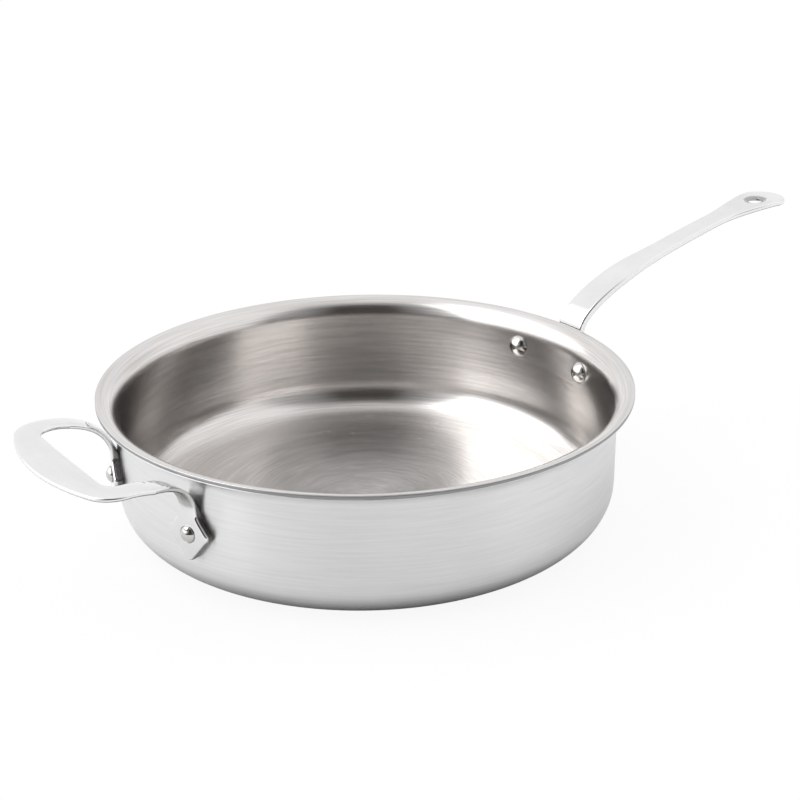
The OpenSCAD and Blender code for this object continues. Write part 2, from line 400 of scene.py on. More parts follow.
def new_group(name: str, inputs: dict[str, tuple[str, float]], outputs: dict[str, str]
              ) -> tuple[bpy.types.NodeTree, Sketch, bpy.types.Node, bpy.types.Node]:
    """Makes an empty shader node group.

    Args:
        name: Name of the group.
        inputs: Socket types of its inputs by name, each with its standard value.
        outputs: Socket types of its outputs by name.

    Returns:
        The group's tree, a Sketch on it, its input node and its output node.
    """
    tree = bpy.data.node_groups.new(name, "ShaderNodeTree")
    for label, (kind, value) in inputs.items():
        socket = tree.interface.new_socket(label, in_out="INPUT", socket_type=kind)
        socket.default_value = value
    for label, kind in outputs.items():
        tree.interface.new_socket(label, in_out="OUTPUT", socket_type=kind)
    sketch = Sketch(tree)
    return tree, sketch, sketch.node("NodeGroupInput"), sketch.node("NodeGroupOutput")


def circle_brushing() -> bpy.types.NodeTree:
    """Group for metal brushed in circles round the pan's axis.

    Its noise runs on a vector of two parts: the direction from the axis, which changes slowly
    along a brush line, and the way along the profile, radius plus height, which changes fast.

    Returns:
        Group with the outputs Lines, fine brush lines, and Bands, the broad tone between them.
    """
    number = "NodeSocketFloat"
    least_radius = 0.1 * MM
    band_share = 0.12
    tree, sketch, given, result = new_group(
        "circle_brushing",
        {"Lines per metre": (number, 900.0), "Turn detail": (number, 4.0)},
        {"Lines": number, "Bands": number})
    place = sketch.node("ShaderNodeSeparateXYZ", {}, {0: sketch.place()}).outputs
    radius = sketch.length(place[0], place[1])
    safe = sketch.math("MAXIMUM", radius, least_radius)
    cosine = sketch.math("DIVIDE", place[0], safe)
    sine = sketch.math("DIVIDE", place[1], safe)
    along = sketch.math("ADD", radius, place[2])
    fine = sketch.math("MULTIPLY", along, given.outputs[0])
    broad = sketch.math("MULTIPLY", fine, band_share)
    turn = given.outputs[1]
    way = sketch.xyz(sketch.math("MULTIPLY", cosine, turn),
                     sketch.math("MULTIPLY", sine, turn), fine)
    lines = sketch.noise(way, scale=1.0, detail=2.0, roughness=0.6)
    bands = sketch.noise(sketch.xyz(cosine, sine, broad), scale=1.0, detail=1.0)
    sketch.tree.links.new(lines, result.inputs["Lines"])
    sketch.tree.links.new(bands, result.inputs["Bands"])
    return tree


def use_marks() -> bpy.types.NodeTree:
    """Group for the marks of wiping and use on any metal of the pan.

    A scratch is the edge of a cell, kept only in the patches where a second noise is high.

    Returns:
        Group with the outputs Smudge, broad soft clouds, and Scratch, sparse hairlines.
    """
    number = "NodeSocketFloat"
    cells_per_metre, hair_width = 90.0, 0.012
    patches_per_metre, patch_span = 160.0, (0.56, 0.62)
    tree, sketch, given, result = new_group(
        "use_marks", {"Cloud size": (number, 0.03)}, {"Smudge": number, "Scratch": number})
    place = sketch.place()
    scaled = sketch.node("ShaderNodeVectorMath", {"operation": "DIVIDE"}, {0: place})
    sketch.tree.links.new(given.outputs[0], scaled.inputs[1])
    smudge = sketch.noise(scaled.outputs[0], scale=1.0, detail=4.0, roughness=0.55)
    cells = sketch.node("ShaderNodeTexVoronoi", {"feature": "DISTANCE_TO_EDGE"},
                        {"Vector": place, "Scale": cells_per_metre})
    hair = sketch.span(cells.outputs["Distance"], (0.0, hair_width), (1.0, 0.0))
    patches = sketch.noise(place, scale=patches_per_metre, detail=1.0)
    sparse = sketch.span(patches, patch_span, (0.0, 1.0))
    scratch = sketch.math("MULTIPLY", hair, sparse)
    sketch.tree.links.new(smudge, result.inputs["Smudge"])
    sketch.tree.links.new(scratch, result.inputs["Scratch"])
    return tree


def new_material(name: str) -> tuple[bpy.types.Material, Sketch, bpy.types.Node]:
    """Makes an empty node material.

    Args:
        name: Name of the material.

    Returns:
        The material, a Sketch on its tree, and its Principled node, already linked.
    """
    material = bpy.data.materials.new(name)
    material.use_nodes = True
    material.node_tree.nodes.clear()
    sketch = Sketch(material.node_tree)
    shader = sketch.node("ShaderNodeBsdfPrincipled")
    sketch.node("ShaderNodeOutputMaterial", {}, {"Surface": shader.outputs[0]})
    return material, sketch, shader


@dataclass(frozen=True)
class BrushedSheet:
    """Sheet metal brushed in circles, which stretches each highlight across the brush lines.

    Down through floor_span it grows rougher by floor_wear, as a used cooking surface does. Down
    through its foot span its colour is scaled down to its foot shade: a painted shade that stands
    for the floor's contact shadow reflected in the foot of the outside.
    """

    name: str
    colour: Colour
    dark_colour: Colour
    roughness: float
    anisotropy: float
    lines_per_metre: float = 900.0
    turn_detail: float = 4.0
    line_share: float = 0.7
    tone_span: Span = (0.38, 0.62)
    rough_spread: float = 0.03
    scratch_rough: float = 0.015
    cloud_size: float = 35.0 * MM
    relief: float = 0.006 * MM
    brush_turn: float = 0.25
    floor_wear: float = 0.0
    floor_span: Span = (3.6 * MM, 12.0 * MM)
    painted_foot_shade: float = 1.0
    painted_foot_span: Span = (2.0 * MM, 16.0 * MM)

    def build(self, brushing: bpy.types.NodeTree, marks: bpy.types.NodeTree) -> bpy.types.Material:
        """Makes the material.

        Args:
            brushing: The group of brush lines.
            marks: The group of smudges and scratches.

        Returns:
            The material.
        """
        material, sketch, shader = new_material(self.name)
        lines = sketch.node("ShaderNodeGroup", {"node_tree": brushing},
                            {"Lines per metre": self.lines_per_metre,
                             "Turn detail": self.turn_detail})
        use = sketch.node("ShaderNodeGroup", {"node_tree": marks}, {"Cloud size": self.cloud_size})
        tone = sketch.math("ADD", sketch.math("MULTIPLY", lines.outputs["Lines"], self.line_share),
                           sketch.math("MULTIPLY", lines.outputs["Bands"], 1 - self.line_share))
        tint = sketch.blend(sketch.span(tone, self.tone_span, (0.0, 1.0)),
                            (*self.dark_colour, 1.0), (*self.colour, 1.0))
        rough = sketch.math("ADD", self.roughness - self.rough_spread,
                            sketch.math("MULTIPLY", lines.outputs["Bands"], self.rough_spread))
        rough = sketch.math("ADD", rough, sketch.math("MULTIPLY", use.outputs["Smudge"],
                                                      self.rough_spread))
        rough = sketch.math("ADD", rough, sketch.math("MULTIPLY", use.outputs["Scratch"],
                                                      self.scratch_rough))
        place = sketch.node("ShaderNodeSeparateXYZ", {}, {0: sketch.place()}).outputs
        worn = sketch.span(place[2], self.floor_span, (self.floor_wear, 0.0))
        rough = sketch.math("ADD", rough, worn)
        # Painted shade: the colour darkens towards the foot, standing for the reflected contact
        # shadow.
        foot = sketch.span(place[2], self.painted_foot_span, (self.painted_foot_shade, 1.0))
        shaded = sketch.node("ShaderNodeVectorMath", {"operation": "SCALE"},
                             {0: tint, 3: foot}).outputs[0]
        bump = sketch.node("ShaderNodeBump", {}, {"Strength": 1.0, "Distance": self.relief,
                                                  "Height": lines.outputs["Lines"]})
        round_the_axis = sketch.xyz(sketch.math("MULTIPLY", place[1], -1.0), place[0], 0.0)
        along = sketch.node("ShaderNodeVectorMath", {"operation": "NORMALIZE"},
                            {0: round_the_axis}).outputs[0]
        link = sketch.tree.links.new
        link(shaded, shader.inputs["Base Color"])
        link(rough, shader.inputs["Roughness"])
        link(bump.outputs[0], shader.inputs["Normal"])
        link(along, shader.inputs["Tangent"])
        shader.inputs["Metallic"].default_value = 1.0
        shader.inputs["Anisotropic"].default_value = self.anisotropy
        shader.inputs["Anisotropic Rotation"].default_value = self.brush_turn
        return material


@dataclass(frozen=True)
class CastSteel:
    """Cast and polished steel: almost a mirror, with a faint swell and hairline scratches.

    Its colour is painted near black, and it grows rougher, on faces that turn down, near the wall
    where a handle joins it, and in the dish round hollow_x: painted shade, standing for the shadow
    and dark reflections in those places.
    """

    name: str
    colour: Colour
    worn_colour: Colour
    roughness: float
    cloud_size: float = 18.0 * MM
    smudge_span: Span = (0.35, 0.75)
    smudge_wear: float = 0.5
    wear_rough: float = 0.12
    swell: float = 0.03 * MM
    swells_per_metre: float = 60.0
    painted_shade_share: float = 0.0
    painted_shade_colour: Colour = (0.07, 0.065, 0.06)
    shaded_rough: float = 0.2
    shade_down: Span = (0.15, 0.6)
    joint_shade_radii: Span = (0.0, 1.0 * MM)
    dish_shade_share: float = 0.0
    hollow_x: float = 0.0
    hollow_shade_radii: Span = (0.0, 1.0 * MM)

    def build(self, marks: bpy.types.NodeTree) -> bpy.types.Material:
        """Makes the material.

        Args:
            marks: The group of smudges and scratches.

        Returns:
            The material.
        """
        material, sketch, shader = new_material(self.name)
        use = sketch.node("ShaderNodeGroup", {"node_tree": marks}, {"Cloud size": self.cloud_size})
        wear = sketch.math("MAXIMUM", use.outputs["Scratch"],
                           sketch.span(use.outputs["Smudge"], self.smudge_span,
                                       (0.0, self.smudge_wear)))
        tint = sketch.blend(wear, (*self.colour, 1.0), (*self.worn_colour, 1.0))
        down = sketch.node("ShaderNodeAttribute", {"attribute_name": UNDERSIDE}).outputs["Fac"]
        place = sketch.node("ShaderNodeSeparateXYZ", {}, {0: sketch.place()}).outputs
        radius = sketch.length(place[0], place[1])
        from_hole = sketch.length(sketch.math("SUBTRACT", place[0], self.hollow_x), place[1])
        # Painted shade: near-black colour on undersides, at the wall joint and in the hanging
        # hole's dish.
        painted_shade = sketch.math("MAXIMUM", sketch.span(down, self.shade_down, (0.0, self.painted_shade_share)),
                          sketch.span(radius, self.joint_shade_radii, (self.painted_shade_share, 0.0)))
        painted_shade = sketch.math("MAXIMUM", painted_shade, sketch.span(from_hole, self.hollow_shade_radii,
                                                      (self.dish_shade_share, 0.0)))
        tint = sketch.blend(painted_shade, tint, (*self.painted_shade_colour, 1.0))
        wear_rough = sketch.math("MULTIPLY", wear, self.wear_rough)
        shaded_rough = sketch.math("MULTIPLY", painted_shade, self.shaded_rough)
        rough = sketch.math("ADD", self.roughness, sketch.math("ADD", wear_rough, shaded_rough))
        height = sketch.noise(sketch.place(), scale=self.swells_per_metre, detail=1.0)
        bump = sketch.node("ShaderNodeBump", {}, {"Strength": 1.0, "Distance": self.swell,
                                                  "Height": height})
        link = sketch.tree.links.new
        link(tint, shader.inputs["Base Color"])
        link(rough, shader.inputs["Roughness"])
        link(bump.outputs[0], shader.inputs["Normal"])
        shader.inputs["Metallic"].default_value = 1.0
        return material


@dataclass
class PanBody:
    """The three bonded sheets of the pan, with the sizes that all its parts share."""

    corner_r: float = 23.0 * MM
    lip_r: float = 9.4 * MM
    edge_r: float = 0.22 * MM
    joint_shade_reach: Span = (2.9 * MM, 3.9 * MM)
    floor_steps: int = 13
    corner_steps: int = 18
    wall_steps: int = 7
    lip_steps: int = 22
    edge_steps: int = 4
    segments: int = 384
    rim_r: float = field(init=False)
    wall_r: float = field(init=False)
    height: float = field(init=False)
    skin_t: float = field(init=False)
    core_t: float = field(init=False)
    lining_t: float = field(init=False)

    def __post_init__(self) -> None:
        """Reads the sheets' sizes from the boxes of their CAD nodes."""
        skin, core, lining = (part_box(layer.value) for layer in Layer)
        self.rim_r = lining[1].x
        self.wall_r = self.rim_r - self.lip_r
        self.height = lining[1].z
        self.skin_t = core[0].z - skin[0].z
        self.core_t = lining[0].z - core[0].z
        self.lining_t = lining[1].z - core[1].z

    @property
    def wall_t(self) -> float:
        """Thickness of the three sheets together."""
        return self.skin_t + self.core_t + self.lining_t

    @property
    def inner_r(self) -> float:
        """Radius of the straight inside wall."""
        return self.wall_r - self.wall_t

    @property
    def joint_shade_radii(self) -> Span:
        """Radii between which the painted shade at a handle's joint with the wall fades."""
        return self.wall_r + self.joint_shade_reach[0], self.wall_r + self.joint_shade_reach[1]

    @property
    def lip_z(self) -> float:
        """Height of the centre of the lip's hollow, where the flare starts."""
        return self.height - self.wall_t - self.lip_r

    def surface(self, inset: float) -> np.ndarray:
        """Profile of the surface that lies inset from the pan's outside.

        It runs along the floor, round the corner's quarter circle, up the wall and out along
        the lip's quarter circle, whose centre is outside the wall.

        Args:
            inset: Distance from the outside surface.

        Returns:
            Rows of (radius, height) from the axis to the edge of the lip.
        """
        flat_r = self.wall_r - self.corner_r
        floor_r = np.linspace(0.0, flat_r, self.floor_steps + 1)[:-1]
        floor = np.stack([floor_r, np.full_like(floor_r, inset)], axis=1)
        corner = arc((flat_r, self.corner_r), self.corner_r - inset, -90, 0,
                     self.corner_steps)
        wall_z = np.linspace(self.corner_r, self.lip_z, self.wall_steps + 1)[1:-1]
        wall = np.stack([np.full_like(wall_z, self.wall_r - inset), wall_z], axis=1)
        lip = arc((self.rim_r, self.lip_z), self.lip_r + inset, 180, 90, self.lip_steps)
        return np.concatenate([floor, corner, wall, lip])

    def sheet_profile(self, outer: float, inner: float) -> np.ndarray:
        """Closed profile of one sheet, with the corners of its cut edge rounded.

        Args:
            outer: Inset of its outer surface.
            inner: Inset of its inner surface.

        Returns:
            Rows of (radius, height) from the axis outside, round the edge, to the axis inside.
        """
        lower, upper = self.surface(outer), self.surface(inner)
        r = self.edge_r
        low_z, high_z = lower[-1, 1], upper[-1, 1]
        edge_low = arc((self.rim_r - r, low_z + r), r, -90, 0, self.edge_steps)
        edge_high = arc((self.rim_r - r, high_z - r), r, 0, 90, self.edge_steps)
        guard = np.array([[self.rim_r - 2 * r, 0.0]])
        return np.concatenate([lower[:-1], guard + [0.0, low_z], edge_low, edge_high,
                               guard + [0.0, high_z], upper[-2::-1]])

    def build(self, finishes: dict[Layer, bpy.types.Material]) -> None:
        """Makes the three sheets.

        Args:
            finishes: Material of each layer.
        """
        insets = np.cumsum([0.0, self.skin_t, self.core_t, self.lining_t])
        slots = {Layer.SKIN: Slot.SKIN, Layer.CORE: Slot.CORE, Layer.LINING: Slot.LINING}
        for layer, outer, inner in zip(Layer, insets, insets[1:]):
            profile = self.sheet_profile(outer, inner)
            Piece(f"pan_{layer.name.lower()}", [Patch(revolve(profile, self.segments))],
                  finishes[layer], slots[layer], layer.value).build()


@dataclass
class Rivet:
    """Solid rivet with a dome inside the pan and a button head on the handle."""

    pan: PanBody
    node: str
    shank_r: float = 3.0 * MM
    inner_head_r: float = 6.9 * MM
    inner_head_h: float = 4.8 * MM
    outer_head_r: float = 4.8 * MM
    outer_head_h: float = 3.0 * MM
    rim_r: float = 0.35 * MM
    rim_tuck: float = 0.3
    rim_arc: Span = (35.0, -60.0)
    rim_steps: int = 6
    dome_share: float = 0.94
    dome_steps: int = 26
    segments: int = 96

    def dome(self, head_r: float, head_h: float) -> np.ndarray:
        """Profile of a domed head on a flat seat, from its top down to a rounded rim.

        The dome is the circle through the top and the rim, and the rim is a small half circle.

        Args:
            head_r: Radius of the head.
            head_h: Height of the head.

        Returns:
            Rows of (radius, height over the seat).
        """
        body_r = head_r - self.rim_tuck * self.rim_r
        dome_r = (body_r ** 2 + head_h ** 2) / (2 * head_h)
        reach = math.degrees(math.asin(min(1.0, body_r / dome_r)))
        top = arc((0.0, head_h - dome_r), dome_r, 90, 90 - self.dome_share * reach, self.dome_steps)
        rim = arc((head_r - self.rim_r, self.rim_r), self.rim_r, *self.rim_arc, self.rim_steps)
        return np.concatenate([top, rim])

    def build(self, turn: float, z: float, seat_r: float, material: bpy.types.Material) -> None:
        """Makes the rivet through the wall.

        Args:
            turn: Angle round the pan in radians.
            z: Height of the rivet's axis.
            seat_r: Distance of the outer head's seat from the pan's axis.
            material: Its finish.
        """
        inner_seat = math.sqrt(self.pan.inner_r ** 2 - self.inner_head_r ** 2)
        inner = self.dome(self.inner_head_r, self.inner_head_h) * [1, -1] + [0, inner_seat]
        outer = self.dome(self.outer_head_r, self.outer_head_h) + [0, seat_r]
        shank = np.array([[self.shank_r, self.pan.inner_r], [self.shank_r, seat_r]])
        profile = np.concatenate([inner, shank, outer[::-1]])
        points = revolve(profile, self.segments)
        laid = np.stack([points[..., 2], points[..., 1], -points[..., 0] + z], axis=-1)
        Piece(f"rivet_of_{self.node}", [Patch(spun(laid, turn))], material, Slot.RIVET,
              self.node).build()


@dataclass
class LongHandle:
    """Cast handle that rises from the wall and ends round, with a dished hanging hole.

    The pulls and the grip's start are places on its middle line, as shares of the reach past
    the lip and of the rise over it. root_drops are shares of the flange's height. The dish
    under the hanging hole is dish_ratio times smaller than the one above it.
    """

    pan: PanBody
    node: str = "long_handle"
    neck_w: float = 20.2 * MM
    grip_w: float = 15.0 * MM
    end_w: float = 31.0 * MM
    neck_t: float = 4.6 * MM
    grip_t: float = 3.9 * MM
    end_t: float = 3.2 * MM
    rim_gap: float = 1.0 * MM
    foot_drop: float = 0.04
    root_drops: Triple = (0.6, 0.2, 0.55)
    root_depth: float = 0.7
    neck_lift: float = 0.18
    neck_pull: Span = (0.195, 0.46)
    grip_start: Span = (0.306, 0.565)
    grip_pulls: Rows = ((0.44, 0.68), (0.85, 1.07))
    flange_h: float = 14.4 * MM
    flange_t: float = 4.5 * MM
    flange_edge_r: float = 1.1 * MM
    rivet_pitch: float = 59.0 * MM
    hole_r: float = 5.0 * MM
    hole_share: float = 0.69
    hole_round: float = 0.25 * MM
    hole_turn: float = 0.2 * MM
    dish_w: float = 3.2 * MM
    dish_fade: float = 0.6 * MM
    dish_share: float = 0.36
    dish_depths: Triple = (0.05, 0.6, 0.95)
    dish_ratio: float = 3.0
    dish_rounds: tuple[int, int] = (3, 2)
    dish_shade_span: Span = (0.55, 0.95)
    plate_share: float = 1.02
    edge_r: float = 1.15 * MM
    flare_share: float = 0.55
    flare_drop: float = 4.0 * MM
    flare_h: float = 16.0 * MM
    level_from: float = 0.82
    level_share: float = 0.8
    slim_share: Span = (0.20, 0.45)
    swell_share: Span = (0.66, 0.95)
    thin_share: float = 0.3
    edge_steps: int = 10
    top_steps: int = 14
    face_steps: int = 11
    tip_steps: int = 120
    flange_steps: int = 28
    curve_points: int = 200
    side_points: int = 400
    line_finer: int = 3
    line_rounds: int = 60
    outline_rounds: int = 4
    square_steps: int = 8
    step: float = 0.9 * MM
    flange_step: float = 1.0 * MM
    hole_step: float = 0.15 * MM
    tip_x: float = field(init=False)
    end_z: float = field(init=False)
    reach: float = field(init=False)
    rise: float = field(init=False)
    hole_x: float = field(init=False)
    flange_r: float = field(init=False)
    rivet_turn: float = field(init=False)
    rivet_z: float = field(init=False)
    plate_x: float = field(init=False)
    line: np.ndarray = field(init=False)
    runs: np.ndarray = field(init=False)

    def __post_init__(self) -> None:
        """Reads the handle's reach and height from the box of its CAD node."""
        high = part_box(self.node)[1]
        self.tip_x = high.x
        self.end_z = high.z - self.end_t / 2
        self.reach = self.tip_x - self.pan.rim_r
        self.rise = self.end_z - self.pan.height
        self.hole_x = self.tip_x - self.hole_share * self.end_w
        self.flange_r = self.pan.wall_r + self.flange_t
        self.rivet_turn = math.asin(self.rivet_pitch / 2 / self.pan.wall_r)
        self.rivet_z = self.pan.lip_z - self.flange_h / 2
        self.plate_x = self.hole_x - self.plate_share * self.end_w / 2
        self.line = self.centre_line()
        steps = np.linalg.norm(np.diff(self.line, axis=0), axis=1)
        self.runs = np.concatenate([[0.0], np.cumsum(steps)])

    @property
    def dish_shade_radii(self) -> Span:
        """Distances from the hole's axis between which the painted shade of the dish fades."""
        near, far = self.dish_shade_span
        return self.hole_r + near * self.dish_w, self.hole_r + far * self.dish_w

    def place(self, reach_share: float, rise_share: float) -> list[float]:
        """Place on the middle of the thickness, by shares of the reach and the rise."""
        return [self.pan.rim_r + reach_share * self.reach,
                self.pan.height + rise_share * self.rise]

    def centre_line(self) -> np.ndarray:
        """Middle of the handle in side view: root, neck and grip, each one cubic curve.

        The last stretch, round the hanging hole and to the tip, is level.

        Returns:
            Rows of (x, z) from inside the flange to the tip.
        """
        pan = self.pan
        neck_x = pan.rim_r + self.rim_gap + self.neck_t / 2
        foot = [neck_x, pan.height - self.foot_drop * self.rise]
        low, middle, top = (self.flange_h * share for share in self.root_drops)
        root = np.array([[pan.wall_r + self.flange_t / 2, pan.lip_z - low],
                         [pan.wall_r + self.flange_t * self.root_depth, pan.lip_z - middle],
                         [neck_x, foot[1] - top], foot])
        start = self.place(*self.grip_start)
        neck = np.array([foot, [neck_x, pan.height + self.neck_lift * self.rise],
                         self.place(*self.neck_pull), start])
        grip = np.array([start, *(self.place(*pull) for pull in self.grip_pulls),
                         self.place(1.0, 1.0)])
        share = np.linspace(0.0, 1.0, self.curve_points)
        level = np.array([[self.tip_x - self.level_share * self.end_w / 2, self.end_z],
                          [self.tip_x, self.end_z]])
        line = np.concatenate([bezier(root, share), bezier(neck, share)[1:],
                               bezier(grip, self.level_from * share)[1:], level])
        return soften(lengthwise(line, self.step / self.line_finer), self.line_rounds)

    def bend(self, run: np.ndarray, y: np.ndarray, height: np.ndarray) -> np.ndarray:
        """Lays flat places of the handle along its centre line.

        Args:
            run: Way along the centre line of each place.
            y: Distance to the side.
            height: Distance over the middle of the thickness, square to the line.

        Returns:
            Places in space: the line's point plus the height times its upward normal.
        """
        line = self.line
        ahead = unit(np.gradient(line, axis=0))
        x, z, along, rise = (np.interp(run, self.runs, column) for column in
                             (line[:, 0], line[:, 1], ahead[:, 0], ahead[:, 1]))
        return np.stack(np.broadcast_arrays(x - rise * height, y, z + along * height), axis=-1)

    def run_at(self, x: np.ndarray) -> np.ndarray:
        """Way along the centre line where it reaches x, on the grip or the plate."""
        return np.interp(x, np.maximum.accumulate(self.line[:, 0]), self.runs)

    def width(self, x: np.ndarray) -> np.ndarray:
        """Width along the handle: the neck narrows to the grip, which swells to the end.

        Args:
            x: Distances from the pan's axis.

        Returns:
            The width at each of them.
        """
        share = (x - self.pan.rim_r) / self.reach
        slim = ease((share - self.slim_share[0]) / np.ptp(self.slim_share))
        swell = ease((share - self.swell_share[0]) / np.ptp(self.swell_share))
        return mix(mix(self.neck_w, self.grip_w, slim), self.end_w, swell)

    def thickness(self, x: np.ndarray) -> np.ndarray:
        """Thickness along the handle, from the neck over the grip to the end.

        Args:
            x: Distances from the pan's axis.

        Returns:
            The thickness at each of them.
        """
        share = np.clip((x - self.pan.rim_r) / self.reach, 0.0, 1.0)
        thin = self.thin_share
        return np.where(share < thin, mix(self.neck_t, self.grip_t, ease(share / thin)),
                        mix(self.grip_t, self.end_t, ease((share - thin) / (1 - thin))))

    def edge_profile(self, half_t: np.ndarray) -> tuple[np.ndarray, np.ndarray]:
        """Rounded edge of the section, from the top face over the side to the underside.

        Args:
            half_t: Half thickness at each station.

        Returns:
            Distance in from the side and height over the middle, both (stations, points).
        """
        half_t = np.asarray(half_t)[:, None]
        turn = np.radians(np.linspace(90.0, -90.0, 2 * self.edge_steps + 1))
        inset = np.broadcast_to(self.edge_r * (1 - np.cos(turn)), (len(half_t), len(turn)))
        side = np.repeat([1.0, 0.0, -1.0], [self.edge_steps, 1, self.edge_steps])
        level = side * (half_t - self.edge_r)
        return inset, self.edge_r * np.sin(turn) + level

    def rings(self) -> np.ndarray:
        """Rings of the neck and grip, square to the centre line, up to the plate.

        Returns:
            Array (stations, ring, 3). A ring runs over the top face, round the edge at +y,
            back along the underside and round the edge at -y.
        """
        last = float(self.run_at(self.plate_x))
        run = np.linspace(0.0, last, int(last / self.step))
        x, z = (np.interp(run, self.runs, self.line[:, k]) for k in (0, 1))
        spread = ease((self.pan.height - self.flare_drop - z) / self.flare_h)
        half_w = self.width(x)[:, None] / 2 * (1 + self.flare_share * spread[:, None])
        half_t = self.thickness(x) / 2
        inset, height = self.edge_profile(half_t)
        flat = np.linspace(-1.0, 1.0, self.top_steps + 1)[None, 1:-1] * (half_w - self.edge_r)
        top = np.broadcast_to(half_t[:, None], flat.shape)
        y = np.concatenate([flat, half_w - inset, -flat, inset - half_w], axis=1)
        h = np.concatenate([top, height, -top, -height], axis=1)
        return self.bend(run[:, None], y, h)

    def outline(self) -> tuple[np.ndarray, np.ndarray]:
        """Plan outline of the plate, from its +y side round the tip to its -y side.

        The swelling sides run on until they meet the half circle of the tip.

        Returns:
            Points (n, 2) and their outward normals, which start and end square to the side.
        """
        middle_x, tip_r = self.tip_x - self.end_w / 2, self.end_w / 2
        x = np.linspace(self.plate_x, self.tip_x, self.side_points)
        circle = np.sqrt(np.maximum(0.0, tip_r ** 2 - np.maximum(0.0, x - middle_x) ** 2))
        meet = int(np.argmax(self.width(x) / 2 > circle))
        start = math.degrees(math.acos((x[meet] - middle_x) / tip_r))
        side = np.stack([x[:meet], self.width(x[:meet]) / 2], axis=1)
        line = np.concatenate([side, arc((middle_x, 0.0), tip_r, start, -start, self.tip_steps),
                               side[::-1] * [1, -1]])
        line = soften(lengthwise(line, self.step), self.outline_rounds)
        along = unit(np.gradient(line, axis=0))
        normal = np.stack([-along[:, 1], along[:, 0]], axis=1)
        square = np.stack([np.zeros(len(line)), np.sign(line[:, 1])], axis=1)
        share = ease((line[:, :1] - self.plate_x) / (self.square_steps * self.step))
        return line, unit(mix(square, normal, share))

    def hole_profile(self) -> np.ndarray:
        """Profile of the dish above the hole, the hole's wall and the slight dish below.

        Returns:
            Rows of (radius, depth under the top face, share of the way to the underside).
        """
        depth, r, outer = self.end_t * self.dish_share, self.hole_r, self.hole_r + self.dish_w
        brim, slope, foot = (share * depth for share in self.dish_depths)
        above = np.array([[outer + self.dish_fade, 0.0], [outer, brim], [(r + outer) / 2, slope],
                          [r + self.hole_round, foot], [r, depth + self.hole_turn]])
        above = soften(lengthwise(above, self.hole_step), self.dish_rounds[0])
        below_depth, below_w = depth / self.dish_ratio, self.dish_w / self.dish_ratio
        below = np.array([[r, below_depth + self.hole_turn], [r + self.hole_step, below_depth],
                          [r + below_w, 0.0]])
        below = soften(lengthwise(below, self.hole_step), self.dish_rounds[1])
        above = np.concatenate([above, np.zeros((len(above), 1))], axis=1)
        below = np.concatenate([below * [1, -1], np.ones((len(below), 1))], axis=1)
        return np.concatenate([above, below])

    def plate(self) -> list[Patch]:
        """Plate round the hanging hole: the edge along its outline, and its two faces.

        The faces are rays from the hole to the outline or, behind the hole, to the last ring
        of the grip. The same rays run down through the hole, so the plate is closed.

        Returns:
            The edge patch, and the patch of both faces and the hole.
        """
        line, normal = self.outline()
        inset, height = self.edge_profile(self.thickness(line[:, 0]) / 2)
        edge_x = line[:, :1] - normal[:, :1] * inset
        edge = self.bend(self.run_at(edge_x), line[:, 1:] - normal[:, 1:] * inset, height)
        inner = line - normal * self.edge_r
        rear_y = np.linspace(inner[-1, 1], inner[0, 1], self.top_steps + 1)
        rear = np.stack([np.full_like(rear_y, self.plate_x), rear_y], axis=1)
        rim = np.concatenate([rear, inner[1:-1]]) - [self.hole_x, 0.0]
        reach = np.linalg.norm(rim, axis=1)
        hole = self.hole_profile()
        share = np.linspace(0.0, 1.0, self.face_steps + 1)[:-1, None]
        radius = np.concatenate([mix(reach, hole[0, 0], share),
                                 np.broadcast_to(hole[:, :1], (len(hole), len(reach))),
                                 mix(reach, hole[-1, 0], share[::-1])])
        x = self.hole_x + radius * rim[:, 0] / reach
        y = radius * rim[:, 1] / reach
        ones = np.ones((len(share), 1))
        drop = np.concatenate([0 * ones, hole[:, 1:2], 0 * ones])
        under = np.concatenate([0 * ones, hole[:, 2:], ones])
        height = self.thickness(x) / 2 * (1 - 2 * under) - drop
        faces = self.bend(self.run_at(x), y, height)
        return [Patch(edge, wraps=False), Patch(faces)]

    def build(self, material: bpy.types.Material) -> None:
        """Makes the handle with its flange.

        Args:
            material: Its finish.
        """
        patches = [Patch(with_ends(self.rings())[:-1]), *self.plate(), Patch(self.flange())]
        Piece("long_handle_cast", patches, material, Slot.HANDLE, self.node).build()

    def flange(self) -> np.ndarray:
        """Curved plate on the wall that the two rivets hold.

        Its outline is a long hole: two half circles joined by straight sides. Rings of the
        outline shrink to the middle of its back, and over its rounded edge to the middle of
        its front.

        Returns:
            Array (rings, outline, 3).
        """
        half = self.pan.wall_r * math.sin(self.rivet_turn)
        ends = np.concatenate([arc((half, 0.0), self.flange_h / 2, -90, 90, self.flange_steps),
                               arc((-half, 0.0), self.flange_h / 2, 90, 270, self.flange_steps)])
        outline = lengthwise(np.concatenate([ends, ends[:1]]), self.flange_step)[:-1]
        core = np.clip(outline, [-half, 0.0], [half, 0.0])
        return wall_plate(self.pan, outline, core, self.flange_t, self.flange_edge_r, self.rivet_z)


